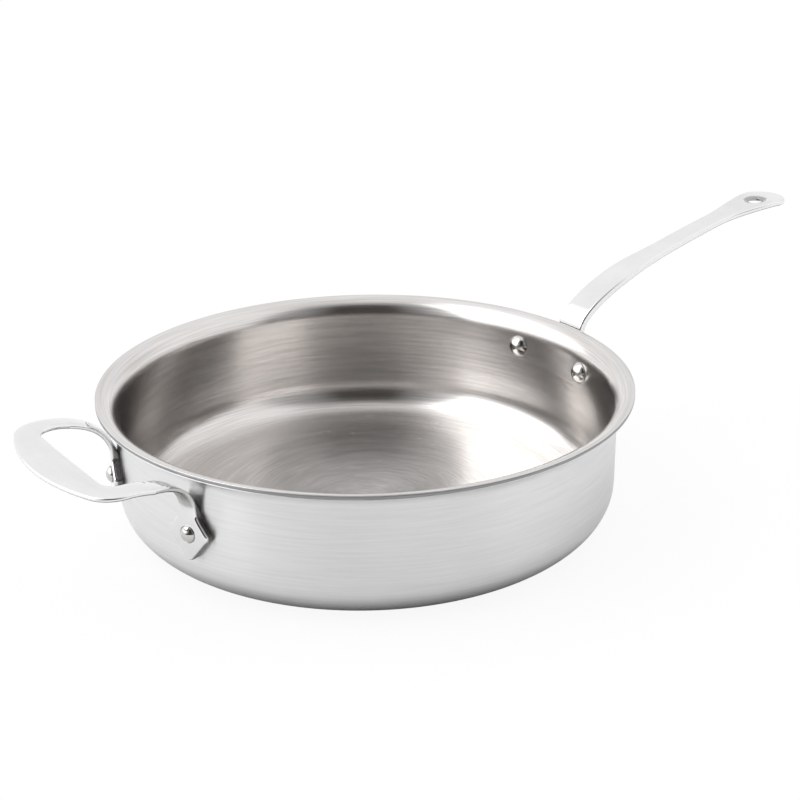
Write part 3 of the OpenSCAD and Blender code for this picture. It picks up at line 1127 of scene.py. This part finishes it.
def wall_plate(pan: PanBody, outline: np.ndarray, core: np.ndarray, thick: float,
               edge_r: float, z: float) -> np.ndarray:
    """Plate that follows the wall, with a rounded front edge.

    A ring is the outline moved towards the plate's core line by some inset, at some height
    over the wall. The way round the wall is the angle whose sine is the sideways distance
    over the wall's radius.

    Args:
        pan: The pan, for the wall's radius.
        outline: Rows of (sideways, up) round the plate.
        core: For each row, the nearest point of the line that the plate shrinks to.
        thick: Thickness of the plate.
        edge_r: Radius of the front edge.
        z: Height of the plate's middle.

    Returns:
        Array (rings, outline, 3).
    """
    edge_points = 9
    turn = np.radians(np.linspace(0.0, 90.0, edge_points))
    inset = np.concatenate([[1.0], [0.0], edge_r * (1 - np.cos(turn)), [1.0]])
    height = np.concatenate([[0.0], [0.0], thick - edge_r + edge_r * np.sin(turn), [thick]])
    away = outline - core
    reach = np.linalg.norm(away, axis=1, keepdims=True)
    share = 1 - np.minimum(1.0, inset[:, None, None] / reach[None])
    flat = core[None] + away[None] * share
    angle = np.arcsin(flat[..., 0] / pan.wall_r)
    radius = pan.wall_r + height[:, None]
    return np.stack([radius * np.cos(angle), radius * np.sin(angle), flat[..., 1] + z], axis=-1)


@dataclass
class HelperHandle:
    """Cast loop opposite the long handle: a bowed bar, two arms, two necks and two pads.

    neck_curve holds the four controls of each neck in side view, from its foot to the arm, as
    shares of the way out and of the way up. The rows of the section are shares of its width,
    from the inner edge to the outer one, and of its thickness. side_counts are the steps on
    each side of the section. The pad's section has as many corners and steps: pad_across is how
    far across the pad its first corners lie, and pad_out is how far each corner stands from the
    wall to the pad's front.
    """

    pan: PanBody
    node: str = "helper_handle"
    bar_w: float = 20.7 * MM
    arm_w: float = 13.7 * MM
    loop_t: float = 3.8 * MM
    bow_r: float = 118.0 * MM
    loop_corner_r: float = 17.2 * MM
    opening_corner_r: float = 9.0 * MM
    loop_drop: float = 1.7 * MM
    neck_w: float = 11.0 * MM
    rivet_pitch: float = 89.2 * MM
    rivet_z: float = 40.4 * MM
    pad_w: float = 28.0 * MM
    pad_h: float = 34.0 * MM
    pad_round: float = 3.6 * MM
    pad_t: float = 4.5 * MM
    pad_edge_r: float = 0.9 * MM
    pad_edge_share: float = 0.98
    pad_sink: float = 0.03 * MM
    pad_tip_w: float = 0.1 * MM
    pad_tip_h: float = 3.0 * MM
    neck_fillet: float = 1.6 * MM
    neck_blend_h: float = 4.0 * MM
    pad_blend_top: float = 19.0 * MM
    pad_blend_h: float = 8.0 * MM
    arm_share: float = 0.2
    neck_share: float = 0.55
    neck_curve: Rows = ((0.0, 0.2), (0.0, 0.62), (0.27, 0.88), (1.0, 0.957))
    crown_from: float = 0.6
    crown_run: float = 1.2
    neck_end: float = 3.93
    inner_side: Rows = ((0.0, -0.12), (0.0, 0.1))
    arm_top: Rows = ((0.035, 0.26), (0.3, 0.34), (0.6, 0.36), (0.8, 0.35), (0.96, 0.28))
    bar_top: Rows = ((0.035, 0.28), (0.25, 0.42), (0.5, 0.5), (0.8, 0.42), (0.96, 0.32))
    outer_and_under: Rows = ((1.0, 0.15), (1.0, -0.15), (0.94, -0.37), (0.5, -0.5),
                             (0.12, -0.4), (0.02, -0.28))
    side_counts: tuple[int, ...] = (3, 3, 14, 16, 20, 10, 3, 4, 5, 26, 22, 6, 3)
    section_rounds: int = 3
    pad_across: tuple[float, ...] = (0.0, 0.0, 0.0, 0.3, 0.55, 0.8, 1.0, 1.0, 1.0)
    pad_out: tuple[float, ...] = (0.55, 0.3, 0.0, 0.0, 0.0, 0.0, 0.0, 0.35, 0.8, 1.0, 1.0, 1.0,
                                  0.8)
    loop_counts: tuple[int, ...] = (39, 39, 29)
    neck_count: int = 60
    pad_count: int = 43
    pad_tip_count: int = 13
    half_loop: float = field(init=False)
    reach: float = field(init=False)
    half_opening: float = field(init=False)
    opening_front: float = field(init=False)
    corner_s: float = field(init=False)
    corner_m: float = field(init=False)
    bow_turn: float = field(init=False)
    arm_end: float = field(init=False)
    neck_stand: float = field(init=False)
    loop_z: float = field(init=False)
    pad_front: float = field(init=False)
    foot_turn: float = field(init=False)

    def __post_init__(self) -> None:
        """Reads the loop's width and reach from the box of its CAD node."""
        low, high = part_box(self.node)
        self.half_loop = (high.y - low.y) / 2
        self.reach = -low.x - self.pan.rim_r
        self.half_opening = self.half_loop - self.arm_w
        self.opening_front = self.reach - self.bar_w
        self.corner_s = self.half_loop - self.loop_corner_r
        corner_r = self.bow_r - self.loop_corner_r
        self.corner_m = self.reach - self.bow_r + math.sqrt(corner_r ** 2 - self.corner_s ** 2)
        self.bow_turn = math.asin(self.corner_s / corner_r)
        self.arm_end = self.arm_share * self.reach
        self.neck_stand = self.pan.wall_r + self.neck_share * self.loop_t
        self.loop_z = self.pan.height - self.loop_drop
        self.pad_front = self.pan.wall_r + self.pad_t
        self.foot_turn = math.asin(self.rivet_pitch / 2 / self.pad_front)

    def outer_edge(self, u: np.ndarray) -> np.ndarray:
        """Outer edge of the loop in plan: the bow's arc, the corner's arc and the arm's side.

        Args:
            u: 0 at the middle of the bar, 1 and 2 at the corner's ends, 3 at the arm's end.

        Returns:
            Rows of (distance out from the lip, distance to the side).
        """
        bow = self.bow_turn * np.minimum(u, 1.0)
        corner = mix(self.bow_turn, math.pi / 2, np.clip(u - 1, 0.0, 1.0))
        side = mix(self.corner_m, self.arm_end, np.clip(u - 2, 0.0, 1.0))
        on_bow = np.stack([self.reach - self.bow_r + self.bow_r * np.cos(bow),
                           self.bow_r * np.sin(bow)], axis=1)
        on_corner = np.stack([self.corner_m + self.loop_corner_r * np.cos(corner),
                              self.corner_s + self.loop_corner_r * np.sin(corner)], axis=1)
        on_side = np.stack([side, np.full_like(u, self.half_loop)], axis=1)
        return np.where(u[:, None] < 1, on_bow, np.where(u[:, None] < 2, on_corner, on_side))

    def inner_edge(self, u: np.ndarray) -> np.ndarray:
        """Edge of the finger opening in plan: straight, round and straight.

        Args:
            u: Place along it, as in outer_edge.

        Returns:
            Rows of (distance out from the lip, distance to the side).
        """
        r = self.opening_corner_r
        straight = (self.half_opening - r) * np.minimum(u, 1.0)
        corner = math.pi / 2 * np.clip(u - 1, 0.0, 1.0)
        side = mix(self.opening_front - r, self.arm_end, np.clip(u - 2, 0.0, 1.0))
        on_bar = np.stack([np.full_like(u, self.opening_front), straight], axis=1)
        on_corner = np.stack([self.opening_front - r + r * np.cos(corner),
                              self.half_opening - r + r * np.sin(corner)], axis=1)
        on_side = np.stack([side, np.full_like(u, self.half_opening)], axis=1)
        return np.where(u[:, None] < 1, on_bar, np.where(u[:, None] < 2, on_corner, on_side))

    def neck_edge(self, side: int) -> np.ndarray:
        """Where an edge of the neck stands on the wall, in plan.

        Args:
            side: 1 for the outer edge and -1 for the inner one.

        Returns:
            Distance out from the lip, negative here, and distance to the side.
        """
        along = np.array([math.cos(self.foot_turn), math.sin(self.foot_turn)])
        across = np.array([-along[1], along[0]])
        return along * self.neck_stand + across * side * self.neck_w / 2 - [self.pan.rim_r, 0.0]

    def edge_place(self, u: np.ndarray, side: int) -> np.ndarray:
        """Edge of loop, arm and neck in space.

        Past u of 3 the edge bends down a cubic curve to the neck's place on the wall.

        Args:
            u: From 0 at the middle of the bar to 4 at the foot of the neck.
            side: 1 for the outer edge and -1 for the inner one.

        Returns:
            Rows of (x, y, z).
        """
        curve = bezier(np.array(self.neck_curve), np.clip(4 - u, 0.0, 1.0))
        held = np.minimum(u, 3.0)
        flat = self.outer_edge(held) if side > 0 else self.inner_edge(held)
        bent = mix(self.neck_edge(side), flat, curve[:, :1])
        arm_rise = mix(1.0, self.neck_curve[-1][1], np.clip(u - 2, 0.0, 1.0) ** 2)
        rise = np.where(u < 3, arm_rise, curve[:, 1])
        p = np.where(u[:, None] < 3, flat, bent)
        z = mix(self.rivet_z, self.loop_z, rise)
        return np.stack([-self.pan.rim_r - p[:, 0], p[:, 1], z], axis=1)

    def loop_section(self, crown: np.ndarray) -> np.ndarray:
        """Section of the loop as shares of its width and thickness.

        On the bar, where crown is 1, the top rises to a crease half way and slopes down past
        it. On the arms, where it is 0, the top is nearly flat. The underside is rounded.

        Args:
            crown: Share of the bar's form at each ring.

        Returns:
            Array (rings, points, 2) of shares from the inner edge to the outer one.
        """
        on_arm, on_bar = (np.array([*self.inner_side, *top, *self.outer_and_under])
                          for top in (self.arm_top, self.bar_top))
        corners = mix(on_arm, on_bar, crown[:, None, None])
        return dense_loop(corners, self.side_counts, self.section_rounds)

    def loop_rings(self, u: np.ndarray) -> np.ndarray:
        """Rings of bar, arm and neck: the section laid between the two edges.

        Args:
            u: Place of each ring along the loop.

        Returns:
            Array (rings, points, 3).
        """
        nudge = 1 / 64
        outer, inner = self.edge_place(u, 1), self.edge_place(u, -1)
        ahead = self.edge_place(u + nudge, 1) + self.edge_place(u + nudge, -1)
        behind = self.edge_place(u - nudge, 1) + self.edge_place(u - nudge, -1)
        up = unit(np.cross(ahead - behind, outer - inner))
        section = self.loop_section(1 - ease((u - self.crown_from) / self.crown_run))
        return (inner[:, None] + section[..., :1] * (outer - inner)[:, None]
                + section[..., 1:] * self.loop_t * up[:, None])

    def pad_half_width(self, drop: np.ndarray) -> np.ndarray:
        """Half width of the pad, a square on its corner with each corner rounded.

        Args:
            drop: Height over the rivet, negative below it.

        Returns:
            Half width at each height, no narrower above the rivet than the neck.
        """
        half_w, half_h, r = self.pad_w / 2, self.pad_h / 2, self.pad_round
        sine, cosine = half_w / math.hypot(half_w, half_h), half_h / math.hypot(half_w, half_h)
        straight = half_w * (1 - np.abs(drop) / half_h)
        side_middle = half_w - r / cosine
        side = side_middle + np.sqrt(np.maximum(0.0, r * r - drop * drop))
        low_middle = r / sine - half_h
        low = np.sqrt(np.maximum(0.0, r * r - (drop - low_middle) ** 2))
        width = np.where(np.abs(drop) < r * sine, side, straight)
        width = np.where(drop < low_middle - r * sine, low, width)
        neck = self.neck_w / 2
        with_neck = (width + neck + np.sqrt((width - neck) ** 2 + self.neck_fillet ** 2)) / 2
        return np.where(drop > 0, mix(width, with_neck, ease(drop / self.neck_blend_h)), width)

    @property
    def pad_low(self) -> float:
        """Lowest point of the pad under the rivet."""
        cut = math.hypot(self.pad_w, self.pad_h) / self.pad_w - 1
        return self.pad_round * cut - self.pad_h / 2

    def pad_rings(self, drop: np.ndarray) -> np.ndarray:
        """Level rings of the pad, from the wall to its flat front.

        Args:
            drop: Height of each ring over the rivet.

        Returns:
            Array (rings, points, 3), with points in the same order as in loop_rings.
        """
        half_w = np.maximum(self.pad_half_width(drop), self.pad_tip_w / 2)[:, None]
        r = np.minimum(self.pad_edge_r, half_w * self.pad_edge_share)
        low_gap = np.clip(drop - self.pad_low, 0.0, self.pad_edge_r)[:, None]
        stand_back = self.pad_edge_r - np.sqrt(np.maximum(
            0.0, self.pad_edge_r ** 2 - (self.pad_edge_r - low_gap) ** 2))
        inwards = r / (2 * half_w)
        one = np.ones_like(half_w)
        share = np.concatenate([one * np.array(self.pad_across), 1 - inwards, one / 2, inwards,
                                0 * one], axis=1)
        out = np.broadcast_to(np.array(self.pad_out), share.shape)
        corners = np.stack([share, out], axis=-1)
        section = dense_loop(corners, self.side_counts, self.section_rounds)
        sideways = (section[..., 0] * 2 - 1) * half_w
        wall = np.sqrt(self.pan.wall_r ** 2 - sideways ** 2) - self.pad_sink
        away = mix(wall, self.pad_front - stand_back, section[..., 1])
        cosine, sine = math.cos(self.foot_turn), math.sin(self.foot_turn)
        return np.stack([-(away * cosine - sideways * sine), away * sine + sideways * cosine,
                         np.broadcast_to((drop + self.rivet_z)[:, None], away.shape)], axis=-1)

    def half_rings(self) -> np.ndarray:
        """Rings from the middle of the bar to the lower corner of the pad at +y.

        Where neck and pad overlap, a ring is a mix of the two that goes over smoothly.

        Returns:
            Array (rings, points, 3).
        """
        u = np.concatenate([np.linspace(k, k + 1, count + 1)[:-1]
                            for k, count in enumerate(self.loop_counts)]
                           + [np.linspace(3, self.neck_end, self.neck_count)])
        loop = self.loop_rings(u)
        start, tip_top = loop[-1, :, 2].mean() - self.rivet_z, self.pad_low + self.pad_tip_h
        quarter = np.linspace(0, math.pi / 2, self.pad_tip_count + 1)[1:]
        down = np.concatenate([np.linspace(start, tip_top, self.pad_count + 1)[1:],
                               self.pad_low + self.pad_tip_h * (1 - np.sin(quarter))])
        pad = self.pad_rings(down)
        level = loop[:, :, 2].mean(axis=1) - self.rivet_z
        share = np.where(u > 3, ease((self.pad_blend_top - level) / self.pad_blend_h), 0.0)
        share = share[:, None, None]
        blended = mix(loop, self.pad_rings(np.where(u > 3, level, 0.0)), share)
        return np.concatenate([blended, pad])

    def build(self, material: bpy.types.Material) -> None:
        """Makes the loop with its pads.

        Args:
            material: Its finish.
        """
        half = self.half_rings()
        rings = np.concatenate([(half * [1, -1, 1])[:0:-1], half])
        Piece("helper_handle_cast", [Patch(with_ends(rings))], material, Slot.HANDLE,
              self.node).build()


@dataclass
class Studio:
    """White studio of the photograph: camera, floor, soft light and the dark room behind.

    Each row of a band is an angle in degrees from the camera's side, positive to the left of
    the picture, and the level of the light there. The levels lie round 1, so that colours show
    about as written. The camera's side is dark, and a stronger softbox stands to the left.
    """

    camera_place: Triple = (-0.44656, -0.66914, 0.39562)
    camera_aim: Triple = (0.05053, 0.03811, 0.04)
    camera_roll: float = -0.581
    focal_mm: float = 68.31
    sensor_mm: float = 36.0
    floor_rings: tuple[float, ...] = (0.0, 0.2, 0.5, 1.0, 2.0, 4.0)
    floor_segments: int = 96
    floor_z: float = -0.2 * MM
    paper_colour: Colour = (0.92, 0.92, 0.915)
    seen_glow: float = 0.92
    mirrored_glow: float = 0.1
    low_bands: Rows = ((-180, 1.1), (-75, 1.15), (-60, 1.0), (-48, 0.05), (48, 0.05), (60, 1.15),
                       (180, 1.1))
    middle_bands: Rows = ((-180, 1.0), (-135, 0.95), (-105, 1.2), (-60, 1.0), (-48, 0.5),
                          (-30, 0.35), (-15, 0.05), (15, 0.05), (30, 0.4), (48, 1.2), (56, 3.6),
                          (112, 3.6), (132, 1.2), (180, 1.0))
    high_bands: Rows = ((-180, 1.1), (-60, 1.2), (-45, 0.5), (-15, 0.03), (15, 0.03), (45, 0.6),
                        (56, 3.0), (112, 3.0), (132, 1.1), (180, 1.1))
    ceiling_level: float = 0.95
    light_colour: Colour = (0.975, 0.985, 1.0)
    dark_room: Colour = (0.020, 0.014, 0.010)
    low_to_middle: Span = (0.12, 0.36)
    middle_to_high: Span = (0.42, 0.66)
    high_to_ceiling: Span = (0.90, 0.98)

    def add_camera(self) -> None:
        """Adds the camera of the photograph."""
        data = bpy.data.cameras.new("photo_camera")
        data.lens = self.focal_mm
        data.sensor_width = self.sensor_mm
        camera = bpy.data.objects.new("photo_camera", data)
        towards = Vector(self.camera_aim) - Vector(self.camera_place)
        turn = towards.to_track_quat("-Z", "Y").to_matrix().to_4x4()
        roll = Matrix.Rotation(math.radians(self.camera_roll), 4, "Z")
        camera.matrix_world = Matrix.Translation(Vector(self.camera_place)) @ turn @ roll
        bpy.context.scene.collection.objects.link(camera)
        bpy.context.scene.camera = camera

    def ring_of_light(self, sketch: Sketch, share: bpy.types.NodeSocket,
                      bands: Rows) -> bpy.types.NodeSocket:
        """Adds a ramp of light levels round the horizon.

        Args:
            sketch: Sketch on the world's tree.
            share: Way round the horizon from 0 to 1, with the camera's side at a half.
            bands: Rows of (angle from the camera's side, level), from -180 to 180.

        Returns:
            The light's colour: the level times light_colour, plus dark_room.
        """
        ramp = sketch.node("ShaderNodeValToRGB", {}, {0: share})
        stops = ramp.color_ramp.elements
        while len(stops) < len(bands):
            stops.new(0.5)
        for stop, (angle, level) in zip(stops, bands):
            stop.position = (angle + 180) / 360
            stop.color = (*(level * light + dark for light, dark in
                            zip(self.light_colour, self.dark_room)), 1.0)
        return ramp.outputs[0]

    def add_world(self) -> None:
        """Adds the light all round: white for the camera, and bands of softboxes and dark room.

        The bands lie round the horizon, measured from the side that the camera stands on. With
        the height of the way, the low ones turn into the middle ones, these into the high ones,
        and these into the ceiling.
        """
        world = bpy.data.worlds.new("studio")
        bpy.context.scene.world = world
        world.use_nodes = True
        world.node_tree.nodes.clear()
        sketch = Sketch(world.node_tree)
        way = sketch.node("ShaderNodeTexCoord").outputs["Generated"]
        part = sketch.node("ShaderNodeSeparateXYZ", {}, {0: way}).outputs
        azimuth = sketch.math("ARCTAN2", part[1], part[0])
        camera_azimuth = math.atan2(self.camera_place[1], self.camera_place[0])
        turned = sketch.math("SUBTRACT", camera_azimuth, azimuth)
        wrapped = sketch.math("WRAP", turned, -math.pi, math.pi)
        share = sketch.span(wrapped, (-math.pi, math.pi), (0.0, 1.0))
        room = self.ring_of_light(sketch, share, self.low_bands)
        levels = ((self.low_to_middle, self.ring_of_light(sketch, share, self.middle_bands)),
                  (self.middle_to_high, self.ring_of_light(sketch, share, self.high_bands)),
                  (self.high_to_ceiling, (self.ceiling_level,) * 3 + (1.0,)))
        for heights, upper in levels:
            room = sketch.blend(sketch.span(part[2], heights, (0.0, 1.0)), room, upper)
        light = sketch.node("ShaderNodeBackground", {}, {"Color": room, "Strength": 1.0})
        white = sketch.node("ShaderNodeBackground", {}, {"Color": WHITE, "Strength": 1.0})
        path = sketch.node("ShaderNodeLightPath")
        seen = sketch.node("ShaderNodeMixShader", {}, {0: path.outputs["Is Camera Ray"],
                                                       1: light.outputs[0], 2: white.outputs[0]})
        sketch.node("ShaderNodeOutputWorld", {}, {"Surface": seen.outputs[0]})

    def add_floor(self) -> None:
        """Adds the pale floor, which looks white but keeps the pan's shadow."""
        rings, segments = np.array(self.floor_rings), self.floor_segments
        points = revolve(np.stack([rings, np.full_like(rings, self.floor_z)], axis=1), segments)
        quads = grid_quads(len(rings), segments, wraps=True, first=0)[:, ::-1]
        mesh = bpy.data.meshes.new("studio_floor")
        mesh.from_pydata(points.reshape(-1, 3).tolist(), [], quads.tolist())
        material = bpy.data.materials.new("studio_paper")
        material.use_nodes = True
        material.node_tree.nodes.clear()
        sketch = Sketch(material.node_tree)
        paper = sketch.node("ShaderNodeBsdfDiffuse", {}, {"Color": (*self.paper_colour, 1.0)})
        glow = sketch.node("ShaderNodeEmission", {}, {"Color": WHITE, "Strength": 1.0})
        path = sketch.node("ShaderNodeLightPath").outputs
        mirrored = sketch.math("MAXIMUM", path["Is Glossy Ray"], path["Is Transmission Ray"])
        shown = sketch.math("MAXIMUM",
                            sketch.math("MULTIPLY", path["Is Camera Ray"], self.seen_glow),
                            sketch.math("MULTIPLY", mirrored, self.mirrored_glow))
        both = sketch.node("ShaderNodeMixShader", {}, {0: shown, 1: paper.outputs[0],
                                                       2: glow.outputs[0]})
        sketch.node("ShaderNodeOutputMaterial", {}, {"Surface": both.outputs[0]})
        mesh.materials.append(material)
        floor = bpy.data.objects.new("studio_floor", mesh)
        bpy.context.scene.collection.objects.link(floor)

    def build(self) -> None:
        """Sets the scene's view and adds camera, floor and light."""
        bpy.context.scene.view_settings.view_transform = "Standard"
        self.add_camera()
        self.add_floor()
        self.add_world()
        LOG.info("studio: camera at %s, floor and light", self.camera_place)


def main() -> None:
    """Builds the pan, its handles and rivets, and the studio."""
    logging.basicConfig(level=logging.INFO, format="%(name)s: %(message)s")
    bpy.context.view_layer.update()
    Studio().build()
    brushing, marks = circle_brushing(), use_marks()
    skin = BrushedSheet("brushed_skin", colour=(0.75, 0.75, 0.745), dark_colour=(0.70, 0.70, 0.695),
                        roughness=0.31, anisotropy=0.9, painted_foot_shade=0.14)
    core = BrushedSheet("cut_core", colour=(0.36, 0.36, 0.365), dark_colour=(0.27, 0.27, 0.275),
                        roughness=0.45, anisotropy=0.3)
    lining = BrushedSheet("brushed_lining", colour=(0.71, 0.69, 0.675),
                          dark_colour=(0.60, 0.575, 0.555), roughness=0.20, anisotropy=0.9,
                          lines_per_metre=750.0, turn_detail=3.0, relief=0.025 * MM,
                          floor_wear=0.06)
    pan = PanBody()
    # The cast finish paints near-black shade on undersides and at each handle's joint with the
    # wall.
    cast = CastSteel("cast_steel", colour=(0.78, 0.775, 0.77), worn_colour=(0.70, 0.695, 0.69),
                     roughness=0.06, painted_shade_share=0.85, joint_shade_radii=pan.joint_shade_radii)
    rivet_finish = CastSteel("rivet_steel", colour=(0.60, 0.59, 0.575),
                             worn_colour=(0.50, 0.49, 0.475), roughness=0.05)
    pan.build({Layer.SKIN: skin.build(brushing, marks), Layer.CORE: core.build(brushing, marks),
               Layer.LINING: lining.build(brushing, marks)})
    rivet_material = rivet_finish.build(marks)
    long_handle = LongHandle(pan)
    # Painted shade: the hanging hole's dish is darkened near black.
    dish_shaded = replace(cast, name="cast_steel_with_dish_shade", dish_shade_share=0.55,
                     hollow_x=long_handle.hole_x, hollow_shade_radii=long_handle.dish_shade_radii)
    long_handle.build(dish_shaded.build(marks))
    helper = HelperHandle(pan)
    helper.build(cast.build(marks))
    for name, side in (("left", 1), ("right", -1)):
        Rivet(pan, f"long_handle_rivet_{name}").build(
            side * long_handle.rivet_turn, long_handle.rivet_z, long_handle.flange_r,
            rivet_material)
        Rivet(pan, f"helper_rivet_{name}").build(
            math.pi - side * helper.foot_turn, helper.rivet_z, helper.pad_front, rivet_material)


if __name__ == "__main__":
    main()
